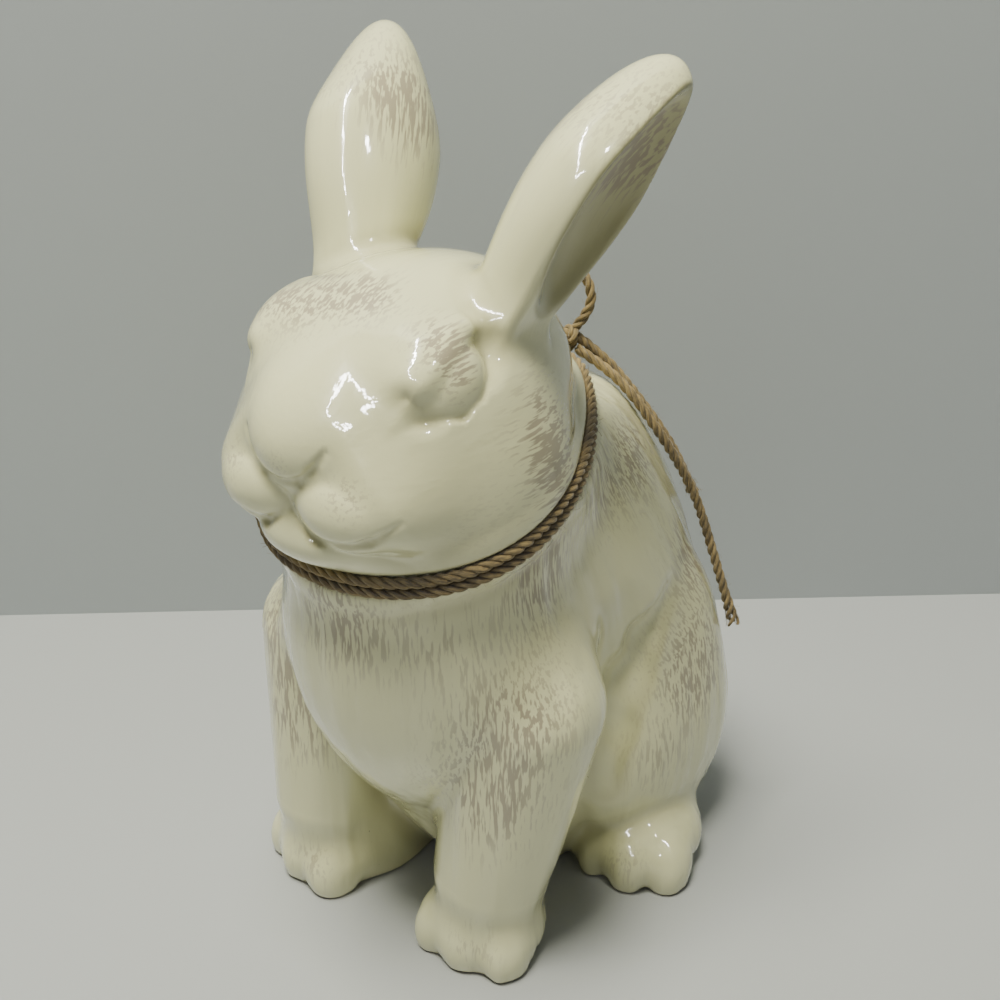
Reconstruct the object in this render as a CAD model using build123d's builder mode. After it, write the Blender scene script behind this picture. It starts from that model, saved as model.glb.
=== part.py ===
from build123d import *
import os
from math import cos, pi, radians, sin, sqrt, tan

os.makedirs("parts", exist_ok=True)

# The figure faces -Y, its left side is +X, and it stands on z = 0.
# Torso, a pear from the rump up to the neck
torso_width = 106.0
torso_depth = 137.0
# Neck, where the torso and the head casting are luted together
neck_height = 170.4
neck_width = 90.0
neck_depth = 119.0
neck_setback = -22.4
neck_tilt = 13.6
# Head
head_length = 126.0
head_width = 101.0
head_height = 92.0
head_rise = 21.1
head_overhang = 52.4
muzzle_pad_radius = 19.5
nose_radius = 12.0
chin_radius = 10.5
eye_radius = 10.0
# Ears
ear_length = 94.0
ear_width = 45.0
ear_bulge = 18.0
ear_opening = 7.0
ear_splay = 17.5
ear_lean = 31.0
ear_turn = 21.0
# Forelegs
foreleg_height = 127.0
foreleg_width = 52.0
left_shoulder_inset = 15.0
right_shoulder_inset = 9.5
left_paw_inset = 26.0
right_paw_inset = 10.0
paw_length = 50.0
paw_width = 45.0
left_paw_splay = 4.0
right_paw_splay = 16.0
# Haunches and hind feet
haunch_height = 107.0
haunch_depth = 80.0
haunch_lean = 13.0
haunch_bulge = 9.5
haunch_lift = 2.5
foot_length = 56.0
foot_width = 44.0
foot_height = 29.0
foot_inset = 6.0
foot_splay = 15.0
toe_radius = 9.0
# Tail and vent hole
tail_radius = 17.0
tail_height = 34.0
tail_reach = 3.0
vent_diameter = 12.0
casting_wall = 6.0
# Twine
twine_diameter = 3.5
turn_gap = 0.5
seat_clearance = 0.3
knot_radius = 6.5
cord_sides = 6
gap_samples = 20

twine_radius = twine_diameter / 2
pitch = twine_diameter + turn_gap
ground = Plane.XY


def egg(half_width, half_depth, fullness_share):
    """Outline of a section, wider towards its first point as fullness_share grows."""
    count = 12
    points = []
    for step in range(count):
        angle = 2 * pi * step / count
        across = half_width * sin(angle) * (1 + fullness_share * cos(angle))
        points.append((across, -half_depth * cos(angle)))
    return points


def barrel(half_depth, shoulder, waist, hip):
    """Outline of a section of the body from its half widths at the shoulder, waist and hip."""
    sides = (throat_end_share * shoulder, shoulder, waist, hip, rump_end_share * hip)
    points = [(0, -half_depth)]
    for index, across in enumerate(sides):
        points.append((across, -half_depth * cos(pi * (index + 1) / (len(sides) + 1))))
    points.append((0, half_depth))
    for x, y in points[-2:0:-1]:
        points.append((-x, y))
    return points


def turned(x, y, angle):
    """A point turned about the vertical, in degrees."""
    a = radians(angle)
    return (x * cos(a) - y * sin(a), x * sin(a) + y * cos(a))


# Places of the limbs: across from the torso's sides, and forward or back by its depth
paw_forward_share = 0.305
haunch_back_share = 0.307
foot_back_share = 0.2044
torso_side = torso_width / 2
paw_setback = -paw_forward_share * torso_depth
haunch_spread = torso_side + haunch_bulge
haunch_setback = haunch_back_share * torso_depth
haunch_centre_height = haunch_height / 2 + haunch_lift
foot_spread = torso_side - foot_inset
foot_setback = foot_back_share * torso_depth

# The neck seam is tilted: higher at the nape than at the throat
tilt = radians(neck_tilt)
neck_plane = Plane(
    origin=(0, neck_setback, neck_height), x_dir=(1, 0, 0), z_dir=(0, -sin(tilt), cos(tilt))
)
neck_fullness_share = 0.325
neck_throat = neck_plane.from_local_coords((0, -neck_depth / 2, 0))
neck_nape = neck_plane.from_local_coords((0, neck_depth / 2, 0))

# Levels of the torso: throat side and back as shares of the depth and of the neck's height, and
# half widths at shoulder, waist and hip as shares of the width
torso_shares = [
    (-0.13, 0.0, 0.5, 0.0, 0.264, 0.34, 0.358),
    (-0.19, 0.07, 0.58, 0.07, 0.3, 0.377, 0.405),
    (-0.29, 0.21, 0.664, 0.21, 0.32, 0.405, 0.47),
    (-0.41, 0.36, 0.697, 0.38, 0.377, 0.415, 0.51),
    (-0.525, 0.51, 0.686, 0.57, 0.415, 0.425, 0.515),
    (-0.575, 0.67, 0.62, 0.75, 0.453, 0.415, 0.462),
    (-0.582, 0.81, 0.488, 0.93, 0.415, 0.4, 0.35),
]
throat_end_share = 0.66
rump_end_share = 0.6
levels = []
for front_share, front_rise_share, back_share, back_rise_share, *width_shares in torso_shares:
    front = Vector(0, front_share * torso_depth, front_rise_share * neck_height)
    back = Vector(0, back_share * torso_depth, back_rise_share * neck_height)
    half_depth = (back - front).length / 2
    levels.append((front, back, barrel(half_depth, *[share * torso_width for share in width_shares])))
levels.append((neck_throat, neck_nape, egg(neck_width / 2, neck_depth / 2, neck_fullness_share)))

# Path of the twine round the neck, as two arcs in each quarter turn
ring_half_width = neck_width / 2 + twine_radius / 2
ring_half_depth = neck_depth / 2 + twine_radius


def ring_point(quarter, climb):
    """A point of the twine's centre line and its heading, quarter turns from the nape."""
    angle = pi - quarter * pi / 2
    across = ring_half_width * sin(angle) * (1 + neck_fullness_share * cos(angle))
    heading = Vector(
        -ring_half_width * (cos(angle) + neck_fullness_share * cos(2 * angle)),
        -ring_half_depth * sin(angle),
        0,
    )
    place = neck_plane.from_local_coords((across, -ring_half_depth * cos(angle), climb))
    heading_end = neck_plane.from_local_coords((heading.X, heading.Y, 0))
    return Vector(place), (Vector(heading_end) - neck_plane.origin).normalized()


def quarter_arcs(start, start_heading, end, end_heading):
    """The middle point of a biarc, where its two arcs meet, and its heading there."""
    chord = end - start
    both = start_heading + end_heading
    spread = 2 * (1 - start_heading.dot(end_heading))
    reach = sqrt(chord.dot(both) ** 2 + spread * chord.dot(chord)) - chord.dot(both)
    reach = reach / spread
    first = start + start_heading * reach
    last = end - end_heading * reach
    return (first + last) / 2, (last - first).normalized()


# The twine's seat: a channel round the seam that both castings are cut by
channel_radius = pitch / 2 + twine_radius + seat_clearance
with BuildPart() as twine_channel:
    with BuildLine() as channel_line:
        for quarter in range(4):
            start, start_heading = ring_point(quarter, 0)
            end, end_heading = ring_point(quarter + 1, 0)
            middle, middle_heading = quarter_arcs(start, start_heading, end, end_heading)
            TangentArc(start, middle, tangent=start_heading)
            TangentArc(middle, end, tangent=middle_heading)
    with BuildSketch(Plane(origin=channel_line.line @ 0, z_dir=channel_line.line % 0)):
        Circle(channel_radius)
    sweep()

# Twine round the neck: two turns side by side, from nape to nape, climbing by one pitch on
# the right of the nape, with a straight run at each end
turns = 2
turn_quarters = 4
wrap_points = []
with BuildPart() as twine_neck_wrap:
    with BuildLine() as wrap_line:
        climb = -pitch / 2
        start, start_heading = ring_point(0, climb)
        Line(start - start_heading * twine_diameter, start)
        for quarter in range(turns * turn_quarters):
            start, start_heading = ring_point(quarter, climb)
            if quarter % turn_quarters == turn_quarters - 1:
                climb += pitch
            end, end_heading = ring_point(quarter + 1, climb)
            middle, middle_heading = quarter_arcs(start, start_heading, end, end_heading)
            first_arc = TangentArc(start, middle, tangent=start_heading)
            second_arc = TangentArc(middle, end, tangent=middle_heading)
            for arc in (first_arc, second_arc):
                for sample in range(gap_samples):
                    wrap_points.append(arc @ (sample / gap_samples))
        Line(end, end + end_heading * twine_diameter)
    with BuildSketch(Plane(origin=wrap_line.line @ 0, z_dir=wrap_line.line % 0)):
        RegularPolygon(twine_radius, cord_sides)
    sweep()

least_gap = twine_diameter * len(wrap_points)
turn_samples = len(wrap_points) // turns
for index, point in enumerate(wrap_points):
    for other in wrap_points[index + turn_samples // 2 :]:
        least_gap = min(least_gap, (other - point).length - twine_diameter)
print("least gap between the turns", round(least_gap, 2))

# Torso casting, with the vent hole of a hollow casting in its base
with BuildPart() as torso_casting:
    for front, back, outline in levels:
        along = back - front
        level_plane = Plane(
            origin=(front + back) / 2,
            x_dir=(1, 0, 0),
            z_dir=Vector(1, 0, 0).cross(along.normalized()),
        )
        with BuildSketch(level_plane):
            with BuildLine():
                Spline(*outline, periodic=True)
            make_face()
    loft()
    split(bisect_by=neck_plane, keep=Keep.BOTTOM)
    add(twine_channel.part, mode=Mode.SUBTRACT)
    with Locations((0, (levels[0][0].Y + levels[0][1].Y) / 2, 0)):
        Cylinder(
            vent_diameter / 2,
            casting_wall,
            align=(Align.CENTER, Align.CENTER, Align.MIN),
            mode=Mode.SUBTRACT,
        )

# Head casting: sections from the nape to the nose, as a share of the length from the rear,
# half width, half height, rise of the centre as shares, and fullness of the cheeks
head_shares = [
    (0.0, 0.06, 0.06, 0.0, 0.0),
    (0.03, 0.18, 0.18, 0.0, 0.0),
    (0.10, 0.29, 0.31, 0.0, 0.05),
    (0.21, 0.38, 0.43, 0.0, 0.1),
    (0.34, 0.45, 0.49, 0.0, 0.12),
    (0.48, 0.49, 0.50, 0.0, 0.14),
    (0.62, 0.485, 0.475, -0.01, 0.14),
    (0.75, 0.42, 0.41, -0.02, 0.1),
    (0.86, 0.33, 0.33, -0.04, 0.05),
    (0.94, 0.22, 0.22, -0.055, 0.0),
    (0.985, 0.1, 0.1, -0.065, 0.0),
]
muzzle_reach_shares = (0.82, 0.135, -0.12)
nose_reach_shares = (0.905, 0.0, 0.0)
chin_reach_shares = (0.875, 0.0, -0.265)
eye_reach_shares = (0.674, 0.272, 0.2)
ear_root_shares = (0.492, 0.262, 0.223)
head_centre_height = neck_height + head_rise
head_rear = neck_setback + head_overhang


def head_place(reach_shares):
    """A point of the head from its shares: along the length, across, and up from the centre."""
    along, across, up = reach_shares
    return (across * head_width, head_rear - along * head_length, head_centre_height + up * head_height)


with BuildPart() as head_casting:
    for along, width_share, height_share, rise_share, fullness in head_shares:
        section_plane = Plane(origin=head_place((along, 0, rise_share)), x_dir=(1, 0, 0), z_dir=(0, -1, 0))
        with BuildSketch(section_plane):
            with BuildLine():
                Spline(*egg(width_share * head_width, height_share * head_height, fullness), periodic=True)
            make_face()
    loft()
    for reach_shares, radius in (
        (muzzle_reach_shares, muzzle_pad_radius),
        (eye_reach_shares, eye_radius),
    ):
        x, y, z = head_place(reach_shares)
        with Locations((x, y, z), (-x, y, z)):
            Sphere(radius)
    with Locations(head_place(nose_reach_shares)):
        Sphere(nose_radius)
    with Locations(head_place(chin_reach_shares)):
        Sphere(chin_radius)
    split(bisect_by=neck_plane, keep=Keep.TOP)
    add(twine_channel.part, mode=Mode.SUBTRACT)
    add(twine_neck_wrap.part, mode=Mode.SUBTRACT)

# Ears: sections along the axis as shares of the length, half width and bulge
ear_shares = [
    (0.0, 0.26, 0.6),
    (0.12, 0.28, 0.62),
    (0.215, 0.33, 0.68),
    (0.345, 0.42, 0.86),
    (0.52, 0.495, 1.0),
    (0.695, 0.46, 0.94),
    (0.84, 0.345, 0.7),
    (0.94, 0.2, 0.42),
    (0.985, 0.09, 0.19),
    (1.0, 0.04, 0.08),
]
hollow_shares = [
    (0.27, 0.06, 0.12),
    (0.32, 0.22, 0.4),
    (0.44, 0.36, 0.62),
    (0.61, 0.39, 0.68),
    (0.765, 0.32, 0.56),
    (0.885, 0.17, 0.3),
    (0.93, 0.05, 0.1),
]
splay = radians(ear_splay)
lean = radians(ear_lean)
turn = radians(ear_turn)
ears = []
for side in (1, -1):
    x, y, z = head_place(ear_root_shares)
    ear_root = Vector(side * x, y, z)
    ear_axis = Vector(side * sin(splay), cos(splay) * sin(lean), cos(splay) * cos(lean))
    ear_out = Vector(side * cos(turn), sin(turn), 0)
    ear_out = (ear_out - ear_axis * ear_out.dot(ear_axis)).normalized()
    ear_across = ear_axis.cross(ear_out)

    with BuildPart() as ear_hollow:
        for along, width_share, depth_share in hollow_shares:
            origin = ear_root + ear_axis * (along * ear_length) + ear_out * ear_opening
            with BuildSketch(Plane(origin=origin, x_dir=ear_across, z_dir=ear_axis)):
                with BuildLine():
                    Spline(*egg(width_share * ear_width, depth_share * ear_bulge, 0), periodic=True)
                make_face()
        loft()

    with BuildPart() as ear:
        for along, width_share, depth_share in ear_shares:
            origin = ear_root + ear_axis * (along * ear_length)
            with BuildSketch(Plane(origin=origin, x_dir=ear_across, z_dir=ear_axis)):
                with BuildLine():
                    Spline(*egg(width_share * ear_width, depth_share * ear_bulge, 0), periodic=True)
                make_face()
        loft()
        split(bisect_by=Plane(origin=ear_root + ear_out * ear_opening, z_dir=ear_out), keep=Keep.BOTTOM)
        add(ear_hollow.part, mode=Mode.SUBTRACT)
        add(head_casting.part, mode=Mode.SUBTRACT)
    ears.append(ear)
left_ear, right_ear = ears

# Forelegs: levels as shares of the height, half width, half length, and how far the section
# has moved from the shoulder over the paw
foreleg_shares = [
    (0.0, 0.35, 0.39, 1.0),
    (0.055, 0.41, 0.43, 1.0),
    (0.12, 0.42, 0.44, 0.98),
    (0.19, 0.4, 0.42, 0.9),
    (0.27, 0.39, 0.41, 0.7),
    (0.4, 0.41, 0.42, 0.5),
    (0.6, 0.465, 0.47, 0.25),
    (0.78, 0.5, 0.5, 0.05),
    (0.9, 0.42, 0.43, 0.0),
    (0.97, 0.24, 0.25, 0.0),
    (1.0, 0.07, 0.07, 0.0),
]
shoulder_setback_share = 0.78
paw_toe_shares = ((-0.3, 0.21), (0.0, 0.25), (0.3, 0.21))
legs = []
for side, shoulder_inset, paw_inset, paw_splay in (
    (1, left_shoulder_inset, left_paw_inset, left_paw_splay),
    (-1, right_shoulder_inset, right_paw_inset, right_paw_splay),
):
    shoulder_spread = torso_side - shoulder_inset
    paw_spread = torso_side - paw_inset
    with BuildPart() as foreleg:
        for up, width_share, length_share, forward in foreleg_shares:
            x = side * (shoulder_spread + (paw_spread - shoulder_spread) * forward)
            y = paw_setback * (shoulder_setback_share + (1 - shoulder_setback_share) * forward)
            heading = turned(1, 0, side * paw_splay * forward)
            place = (x, y, up * foreleg_height)
            with BuildSketch(Plane(origin=place, x_dir=(*heading, 0), z_dir=(0, 0, 1))):
                with BuildLine():
                    Spline(*egg(width_share * foreleg_width, length_share * paw_length, 0), periodic=True)
                make_face()
        loft()
        for across_share, along_share in paw_toe_shares:
            dx, dy = turned(across_share * paw_width, -along_share * paw_length, side * paw_splay)
            with Locations((side * paw_spread + dx, paw_setback + dy, toe_radius)):
                Sphere(toe_radius)
        split(bisect_by=ground, keep=Keep.TOP)
        add(torso_casting.part, mode=Mode.SUBTRACT)
    legs.append(foreleg)
left_foreleg, right_foreleg = legs

# Haunches: domed sections outward, as shares of the spread, depth and height, leaning back
haunch_fullness_share = 0.16
haunch_turn = radians(haunch_lean)
haunch_shares = [
    (0.4, 0.48, 0.5),
    (0.62, 0.485, 0.5),
    (0.76, 0.45, 0.465),
    (0.88, 0.36, 0.37),
    (0.96, 0.22, 0.22),
    (1.0, 0.06, 0.06),
]
haunches = []
for side, foreleg in ((1, left_foreleg), (-1, right_foreleg)):
    with BuildPart() as haunch:
        for out, depth_share, height_share in haunch_shares:
            place = (side * out * haunch_spread, haunch_setback, haunch_centre_height)
            level = Vector(0, cos(haunch_turn), -sin(haunch_turn)) * side
            outline = egg(depth_share * haunch_depth, height_share * haunch_height, haunch_fullness_share)
            with BuildSketch(Plane(origin=place, x_dir=level, z_dir=(side, 0, 0))):
                with BuildLine():
                    Spline(*outline, periodic=True)
                make_face()
        loft()
        add(torso_casting.part, mode=Mode.SUBTRACT)
        add(foreleg.part, mode=Mode.SUBTRACT)
    haunches.append(haunch)
left_haunch, right_haunch = haunches

# Hind feet: levels as shares of the height, half width and half length
foot_shares = [
    (0.0, 0.45, 0.46),
    (0.28, 0.5, 0.5),
    (0.55, 0.49, 0.485),
    (0.8, 0.39, 0.4),
    (0.94, 0.22, 0.24),
    (1.0, 0.07, 0.08),
]
foot_toe_shares = ((-0.3, 0.33), (0.0, 0.36), (0.3, 0.33))
hind_feet = []
for side, foreleg, haunch in ((1, left_foreleg, left_haunch), (-1, right_foreleg, right_haunch)):
    with BuildPart() as hind_foot:
        heading = turned(1, 0, side * foot_splay)
        for up, width_share, length_share in foot_shares:
            place = (side * foot_spread, foot_setback, up * foot_height)
            with BuildSketch(Plane(origin=place, x_dir=(*heading, 0), z_dir=(0, 0, 1))):
                with BuildLine():
                    Spline(*egg(width_share * foot_width, length_share * foot_length, 0), periodic=True)
                make_face()
        loft()
        for across_share, along_share in foot_toe_shares:
            dx, dy = turned(across_share * foot_width, -along_share * foot_length, side * foot_splay)
            with Locations((side * foot_spread + dx, foot_setback + dy, toe_radius)):
                Sphere(toe_radius)
        split(bisect_by=ground, keep=Keep.TOP)
        add(torso_casting.part, mode=Mode.SUBTRACT)
        add(haunch.part, mode=Mode.SUBTRACT)
        add(foreleg.part, mode=Mode.SUBTRACT)
    hind_feet.append(hind_foot)
left_hind_foot, right_hind_foot = hind_feet

# Tail, a round scut
with BuildPart() as tail:
    with Locations((0, levels[2][1].Y + tail_reach, tail_height)):
        Sphere(tail_radius)
    split(bisect_by=ground, keep=Keep.TOP)
    add(torso_casting.part, mode=Mode.SUBTRACT)

# Knot of the bow, a round lump with its flat side against the turns at the nape
knot_centre_share = 0.34
knot_seat, knot_heading = ring_point(0, pitch)
knot_out = neck_plane.y_dir
knot_seat = knot_seat + knot_out * (twine_radius + seat_clearance)
knot_plane = Plane(origin=knot_seat, x_dir=(1, 0, 0), z_dir=knot_out)
with BuildPart() as twine_knot:
    with Locations(knot_plane.offset(knot_centre_share * knot_radius)):
        Sphere(knot_radius)
    split(bisect_by=knot_plane, keep=Keep.TOP)

# Loops and loose ends of the bow, as points chosen by hand from the knot outwards
loop_left_route = [
    (1.5, 42.5, 192),
    (6.8, 46, 198.7),
    (7, 46.5, 208.5),
    (-0.5, 45, 216.5),
    (-11, 43, 219.5),
    (-21, 42, 216),
    (-27, 42, 207),
    (-25, 42.7, 197),
    (-16.5, 44, 191.5),
    (-5, 43.2, 191.8),
]
loop_right_route = [
    (-4.5, 42.5, 187.5),
    (-13, 48.5, 189),
    (-24, 50, 188),
    (-34.5, 47.5, 183.5),
    (-41.5, 45, 174.5),
    (-41.5, 48.5, 163.5),
    (-33.5, 55, 157.5),
    (-22.8, 60.3, 162.4),
    (-14.2, 58.3, 171),
    (-7, 51.8, 179.3),
    (-2, 43.5, 186.5),
]
tail_short_route = [
    (3, 44, 190.5),
    (10.5, 51.5, 182),
    (20, 54.5, 171),
    (28, 59, 159),
    (34, 64.5, 145.5),
    (38.5, 68, 132),
]
tail_long_route = [
    (4.5, 42, 187),
    (12, 46.5, 181.5),
    (22, 48.5, 174),
    (31, 51, 162.5),
    (37, 57.5, 148.5),
    (41, 64, 134.5),
    (44.5, 67.5, 121),
    (48.5, 69, 108),
    (53, 70, 95.5),
    (57, 71.5, 82.5),
]

bend_share = 0.45


def bends(route):
    """Radius at each corner of a cord's route, as large as its two runs allow."""
    corners = [Vector(*point) for point in route]
    radii = []
    for before, corner, after in zip(corners, corners[1:], corners[2:]):
        run_in = corner - before
        run_out = after - corner
        half_turn = radians(run_in.get_angle(run_out)) / 2
        radii.append(bend_share * min(run_in.length, run_out.length) / tan(half_turn))
    return radii


cords = {}
for cord_name, route in (
    ("twine_loop_left", loop_left_route),
    ("twine_loop_right", loop_right_route),
    ("twine_tail_short", tail_short_route),
    ("twine_tail_long", tail_long_route),
):
    radii = bends(route)
    with BuildPart() as cord:
        with BuildLine():
            path = FilletPolyline(*route, radius=radii)
        with BuildSketch(Plane(origin=path @ 0, z_dir=path % 0)) as cord_section:
            RegularPolygon(twine_radius, cord_sides)
        sweep()
        volume_ratio = cord.part.volume / (cord_section.sketch.area * path.length)
        add(twine_knot.part, mode=Mode.SUBTRACT)
    cords[cord_name] = cord
    print(cord_name, "length", round(path.length, 1), "radii", [round(radius, 1) for radius in radii])
    print("  volume over section times length", round(volume_ratio, 3))

# Every node, by name
nodes = {
    "torso_casting": torso_casting,
    "head_casting": head_casting,
    "left_ear": left_ear,
    "right_ear": right_ear,
    "left_foreleg": left_foreleg,
    "right_foreleg": right_foreleg,
    "left_haunch": left_haunch,
    "right_haunch": right_haunch,
    "left_hind_foot": left_hind_foot,
    "right_hind_foot": right_hind_foot,
    "tail": tail,
    "twine_neck_wrap": twine_neck_wrap,
    "twine_knot": twine_knot,
    **cords,
}
for node_name, node in nodes.items():
    node.part.label = node_name
    export_step(node.part, "parts/" + node_name + ".step")
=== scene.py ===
import bpy
import math
import numpy as np
from concurrent.futures import ThreadPoolExecutor
from mathutils import Matrix, Vector


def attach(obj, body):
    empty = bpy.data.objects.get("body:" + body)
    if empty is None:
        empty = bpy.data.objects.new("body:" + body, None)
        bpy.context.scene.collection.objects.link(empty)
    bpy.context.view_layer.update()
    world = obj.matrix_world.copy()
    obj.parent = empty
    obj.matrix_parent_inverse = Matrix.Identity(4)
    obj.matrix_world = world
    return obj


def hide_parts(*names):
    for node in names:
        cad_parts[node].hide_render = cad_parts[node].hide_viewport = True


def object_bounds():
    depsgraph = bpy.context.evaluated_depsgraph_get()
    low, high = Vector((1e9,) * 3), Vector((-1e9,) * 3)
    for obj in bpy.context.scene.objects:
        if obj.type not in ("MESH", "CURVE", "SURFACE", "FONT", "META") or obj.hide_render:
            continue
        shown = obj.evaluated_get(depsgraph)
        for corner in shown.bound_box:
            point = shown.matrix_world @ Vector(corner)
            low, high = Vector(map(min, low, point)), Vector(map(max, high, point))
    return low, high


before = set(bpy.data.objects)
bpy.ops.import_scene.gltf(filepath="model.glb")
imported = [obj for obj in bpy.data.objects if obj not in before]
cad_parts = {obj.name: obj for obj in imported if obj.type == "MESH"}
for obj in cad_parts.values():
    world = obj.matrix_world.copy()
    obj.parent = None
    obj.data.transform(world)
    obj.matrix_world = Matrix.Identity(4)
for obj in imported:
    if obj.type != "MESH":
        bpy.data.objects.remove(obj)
cadLow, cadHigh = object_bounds()
millimetre = 0.001
print("frame loaded,", len(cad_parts), "nodes")

# Shaping: distance fields, negative inside, all in the figure's millimetres.
# The rabbit faces -Y and its left side is +X. A paired mass is given for the left side alone.


def ellipsoid(p, centre, radii, turn=None):
    q = p - np.array(centre, float)
    if turn is not None:
        q = q @ turn
    r = np.array(radii, float)
    near = np.sqrt(((q / r) ** 2).sum(-1))
    far = np.sqrt(((q / (r * r)) ** 2).sum(-1))
    return near * (near - 1) / np.maximum(far, 1e-9)


def capsule(p, start, end, startRadius, endRadius):
    a = np.array(start, float)
    along = np.array(end, float) - a
    t = np.clip(((p - a) @ along) / (along @ along), 0, 1)
    distance = np.sqrt(((p - a - t[:, None] * along) ** 2).sum(-1))
    return distance - (startRadius + (endRadius - startRadius) * t)


def smoothMin(a, b, blend):
    h = np.clip(0.5 + 0.5 * (b - a) / blend, 0, 1)
    return b + (a - b) * h - blend * h * (1 - h)


def smoothMax(a, b, blend):
    return -smoothMin(-a, -b, blend)


def ramp(value, low, high):
    t = np.clip((value - low) / (high - low), 0, 1)
    return t * t * (3 - 2 * t)


def turnedAxes(yaw=0, pitch=0, roll=0):  # rolled about y, pitched about x, yawed about z, in degrees
    y, t, r = np.radians([yaw, pitch, roll])
    rz = np.array([[np.cos(y), -np.sin(y), 0], [np.sin(y), np.cos(y), 0], [0, 0, 1]])
    rx = np.array([[1, 0, 0], [0, np.cos(t), -np.sin(t)], [0, np.sin(t), np.cos(t)]])
    ry = np.array([[np.cos(r), 0, np.sin(r)], [0, 1, 0], [-np.sin(r), 0, np.cos(r)]])
    return rz @ rx @ ry


def leftOf(p):  # the left side's place that stands for a place of either side
    s = p.copy()
    s[:, 0] = np.abs(s[:, 0])
    return s


def massField(p, mass):
    if "end" in mass:
        return capsule(p, mass["start"], mass["end"], *mass["radii"])
    turn = turnedAxes(*mass["turn"]) if "turn" in mass else None
    return ellipsoid(p, mass["centre"], mass["radii"], turn)


def merged(p, paired, masses):
    field = None
    for mass in masses.values():
        own = massField(paired if mass.get("paired") else p, mass)
        field = own if field is None else smoothMin(field, own, mass["blend"])
    return field


def grooved(field, p, groove):  # carved along a path whose radius changes
    path, radii = groove["path"], groove["radii"]
    for start, end, first, last, blend in zip(path, path[1:], radii, radii[1:], groove["blends"]):
        field = smoothMax(field, -capsule(p, start, end, first, last), blend)
    return field


# The twine's seat round the neck, as the frame has it
neck = {
    "halfWidth": 45.875,   # of the twine's centre line
    "halfDepth": 61.25,
    "fullness": 0.325,     # wider towards the throat
    "centre": (0, -22.4, 170.4),
    "tilt": 13.6,
    "pitch": 4.0,
    "twineRadius": 1.75,
    "collarHeight": 7,
    "collarEdge": 4,
    "collarBlend": 7,
    "seatBlend": 2.0,
    "seatSlope": 0.6,
    "seatReach": 16,
    "climbRight": 0.5,     # where the seat starts to climb, in half turns from the throat
    "climbLeft": 0.92,
    "seam": 2,             # between head and torso, over and under the twine's plane
}


def neckAxes():
    tilt = math.radians(neck["tilt"])
    rear = np.array([0, math.cos(tilt), math.sin(tilt)])
    up = np.array([0, -math.sin(tilt), math.cos(tilt)])
    return np.array([1.0, 0, 0]), rear, up


def neckCoordinates(p):  # distance outside the twine's line, height over its plane, turn round it
    across, rear, up = neckAxes()
    q = p - np.array(neck["centre"], float)
    u, v, w = q @ across, q @ rear, q @ up
    widening = 1 - neck["fullness"] * np.clip(v / neck["halfDepth"], -1, 1)
    width = neck["halfWidth"] * widening
    near = np.sqrt((u / width) ** 2 + (v / neck["halfDepth"]) ** 2)
    far = np.sqrt((u / width ** 2) ** 2 + (v / neck["halfDepth"] ** 2) ** 2)
    return near * (near - 1) / np.maximum(far, 1e-9), w, np.arctan2(u, -v)


torsoMasses = {
    "rump": {"centre": (0, 38, 64), "radii": (52, 57, 76)},
    "ribs": {"centre": (0, 22, 112), "radii": (47, 61, 74), "blend": 26},
    "chest": {"centre": (0, -34, 120), "radii": (47, 45, 64), "blend": 20},
    "neck": {"centre": (0, -24, 160), "radii": (44, 56, 26), "turn": (0, 13), "blend": 12},
    "belly": {"centre": (0, -13, 56), "radii": (32, 34, 95), "turn": (0, 31), "blend": 14},
}
# Clay left between the belly and the right foreleg, down to the table
lap = {"centre": (-30, -22, 14), "radii": (13, 24, 40), "blend": 8}
flankCut = {"centre": (61, 2, 84), "radii": (19, 15.5, 40), "turn": (0, -10, 0), "blend": 11}
headMasses = {
    "skull": {"centre": (0, -36, 192), "radii": (42, 43, 46)},
    "backOfHead": {"centre": (0, -11, 190), "radii": (29, 36, 38), "blend": 16},
    "forehead": {"centre": (0, -52, 196), "radii": (39, 38, 34), "blend": 16},
    "cheek": {"centre": (20, -40, 176), "radii": (28, 35.5, 28), "blend": 12, "paired": True},
    "jaw": {"centre": (0, -66, 171), "radii": (27, 27, 14), "blend": 9},
    "noseBridge": {"centre": (0, -76, 203), "radii": (18, 21, 16), "turn": (0, 24), "blend": 10},
}
muzzlePad = {"centre": (14, -75.5, 184), "radii": (20, 20, 15.5), "turn": (-8, 0, 10)}
# The pads' crease is sharp at the mouth and the nose, and fades out towards the cheek
padFade = {"start": (10, -90, 183), "way": (0.6, 0.5, 0.5), "near": 4, "far": 18, "sharp": 1.2, "soft": 14}
lowerLip = {"start": (-7, -83, 172.5), "end": (7, -83, 172.5), "radii": (8, 8), "blend": 4}
noseCrease = {
    "path": [(-1, -94.6, 190.2), (6, -94.2, 191.6), (11, -93.2, 196), (14.3, -91.3, 201.5)],
    "radii": [0.6, 0.6, 0.4, -0.6],
    "blends": [2.4, 2.4, 3],
}
mouthCrease = {
    "path": [(3, -91.8, 178), (8.9, -92.2, 174.6), (18.7, -92.2, 175), (26.5, -89.6, 177.4),
             (33.5, -84.2, 183.5)],
    "radii": [-0.4, 0.6, 1.2, 0.8, -1.2],
    "blends": [2.4, 2.4, 2.8, 3.4],
}
eyeSocket = {
    "front": {"path": [(28, -73.2, 214.6), (32, -70.5, 211.4)], "radii": [2.6, 2.4], "blends": [7]},
    "rim": {"path": [(33.6, -68.6, 209.9), (37.3, -62.3, 209.4), (37.8, -56, 213), (35.4, -51.3, 220.5)],
            "radii": [2.0, 2.1, 2.2, 2.8], "blends": [1.6, 1.6, 2]},
    "corner": {"path": [(36, -51.5, 219.8), (34, -41, 224.6)], "radii": [3.6, 2.6], "blends": [7]},
}
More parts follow.
